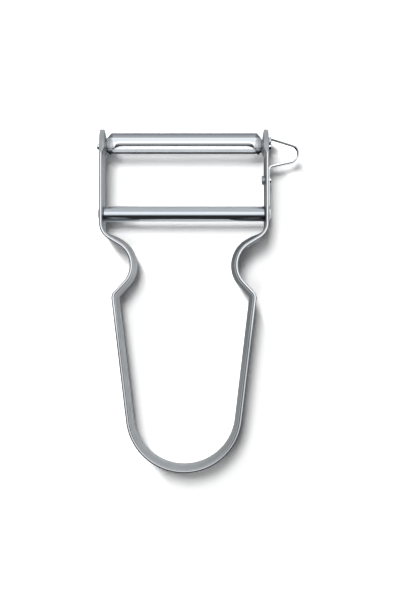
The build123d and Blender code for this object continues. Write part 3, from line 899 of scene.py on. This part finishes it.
grain, given, result = new_group(
    "drawn out scratches",
    [("Flow", "NodeSocketVector", None), ("Along", "NodeSocketFloat", 0.08),
     ("Across", "NodeSocketFloat", 6.0), ("Contrast", "NodeSocketFloat", 1.0)],
    [("Scratches", "NodeSocketFloat"), ("Patches", "NodeSocketFloat")],
)
stretch = node(grain, "ShaderNodeCombineXYZ")
grain.links.new(given.outputs["Along"], stretch.inputs["X"])
grain.links.new(given.outputs["Across"], stretch.inputs["Y"])
grain.links.new(given.outputs["Across"], stretch.inputs["Z"])
scaled = node(grain, "ShaderNodeVectorMath", operation="MULTIPLY")
grain.links.new(given.outputs["Flow"], scaled.inputs[0])
grain.links.new(stretch.outputs["Vector"], scaled.inputs[1])
lines = node(grain, "ShaderNodeTexNoise")
lines.inputs["Scale"].default_value = 1.0
lines.inputs["Detail"].default_value = 3.0
lines.inputs["Roughness"].default_value = 0.65
grain.links.new(scaled.outputs["Vector"], lines.inputs["Vector"])
centred = combine(grain, "SUBTRACT", lines.outputs["Fac"], 0.5)
swing = combine(grain, "MULTIPLY", centred, given.outputs["Contrast"])
grain.links.new(combine(grain, "ADD", swing, 0.5), result.inputs["Scratches"])
patches = node(grain, "ShaderNodeTexNoise")
patches.inputs["Scale"].default_value = 0.35
patches.inputs["Detail"].default_value = 2.0
grain.links.new(given.outputs["Flow"], patches.inputs["Vector"])
grain.links.new(patches.outputs["Fac"], result.inputs["Patches"])
print("the grain group has", len(grain.nodes), "nodes")


# %% A steel finish
def blend(tree, kind, mask, a, b):
    """A Mix node of that kind: a where the mask is zero and b where it is one, each a socket or a value."""
    made = node(tree, "ShaderNodeMix", data_type=kind)
    tree.links.new(mask, made.inputs["Factor"])
    for label, value in (("A", a), ("B", b)):
        if isinstance(value, bpy.types.NodeSocket):
            tree.links.new(value, made.inputs[label])
        else:
            made.inputs[label].default_value = value
    return made.outputs["Result"]


def steel(name, colour, shade, rough, along, across, bump, *marks, glance=None):
    """A steel material. Colour and shade are its light and dark tones, rough its roughness from and to; along
    and across stretch the scratches. Each mark is an attribute, with the tone and the roughness that the
    finish has where it is one. Glance is an attribute and the tint of grazing gloss where it is one."""
    material, tree = new_material(name)
    output = node(tree, "ShaderNodeOutputMaterial")
    shader = node(tree, "ShaderNodeBsdfPrincipled")
    shader.inputs["Metallic"].default_value = 1.0
    tree.links.new(shader.outputs["BSDF"], output.inputs["Surface"])
    flow = node(tree, "ShaderNodeAttribute", attribute_name="flow")
    scratches = node(tree, "ShaderNodeGroup", node_tree=grain)
    scratches.inputs["Along"].default_value = along
    scratches.inputs["Across"].default_value = across
    tree.links.new(flow.outputs["Vector"], scratches.inputs["Flow"])
    tone = fade(tree, scratches.outputs["Scratches"], 0.3, 0.7, 0.0, 1.0)
    colour_out = blend(tree, "RGBA", tone, (*shade, 1), (*colour, 1))
    rough_out = fade(tree, scratches.outputs["Patches"], 0.35, 0.65, *rough)
    for label, mark_colour, mark_rough in marks:
        mask = node(tree, "ShaderNodeAttribute", attribute_name=label).outputs["Fac"]
        colour_out = blend(tree, "RGBA", mask, colour_out, (*mark_colour, 1))
        rough_out = blend(tree, "FLOAT", mask, rough_out, mark_rough)
    if glance:
        label, tint = glance
        mask = node(tree, "ShaderNodeAttribute", attribute_name=label).outputs["Fac"]
        tint_out = blend(tree, "RGBA", mask, (1, 1, 1, 1), (tint, tint, tint, 1))
        tree.links.new(tint_out, shader.inputs["Specular Tint"])
    tree.links.new(colour_out, shader.inputs["Base Color"])
    tree.links.new(rough_out, shader.inputs["Roughness"])
    relief = node(tree, "ShaderNodeBump")
    relief.inputs["Strength"].default_value = bump
    relief.inputs["Distance"].default_value = 0.00002
    tree.links.new(scratches.outputs["Scratches"], relief.inputs["Height"])
    tree.links.new(relief.outputs["Normal"], shader.inputs["Normal"])
    return material


# %% Finishes on their pieces
# The black mark is painted shade, and its glance dims the grazing gloss there.
black_mark = ("black", (0.02, 0.022, 0.025), 0.3)
# One mark on the strip is painted shade: it darkens the right half's inner face and dims its grazing gloss.
satin = steel(
    "satin strip steel", (0.378, 0.4, 0.417), (0.322, 0.341, 0.359), (0.36, 0.44), 0.06, 5.0, 0.5,
    ("dull", (0.162, 0.18, 0.192), 0.4), ("edge", (0.375, 0.39, 0.405), 0.14),
    ("rubbed", (0.55, 0.57, 0.59), 0.14), ("ears", (0.37, 0.388, 0.4), 0.5), glance=("dull", 0.4),
)
polished = steel(
    "polished bar steel", (0.475, 0.505, 0.535), (0.44, 0.47, 0.5), (0.1, 0.15), 0.05, 4.0, 0.2,
    ("heads", (0.85, 0.86, 0.88), 0.6),
)
# On the blade, the dark tone of the front face is a painted dark reflection.
ground_blade = steel(
    "polished blade steel", (0.87, 0.905, 0.94), (0.82, 0.86, 0.9), (0.1, 0.15), 0.05, 4.0, 0.15,
    ("ends", (0.29, 0.3, 0.31), 0.5), ("ground", (0.113, 0.13, 0.144), 0.28),
    black_mark, glance=("black", 0.1),
)
# The mark on the loop's faces is painted shade: it darkens them and takes away their grazing gloss.
spring = steel(
    "bright spring steel", (0.29, 0.305, 0.32), (0.23, 0.242, 0.256), (0.22, 0.28), 0.06, 6.0, 0.3,
    ("edge", (0.9, 0.91, 0.92), 0.2), glance=("dull", 0.0),
)
peened = steel(
    "peened rivet steel", (0.55, 0.57, 0.59), (0.42, 0.44, 0.46), (0.4, 0.5), 0.8, 1.5, 0.5,
    ("tail", (0.85, 0.86, 0.88), 0.15), black_mark, glance=("black", 0.1),
)
finishes = ((frame_piece, satin), (bar, polished), (blade, ground_blade), (loop, spring), (rivet, peened))
for piece, finish in finishes:
    piece.data.materials.append(finish)
    print(piece.name, "has the finish", finish.name)
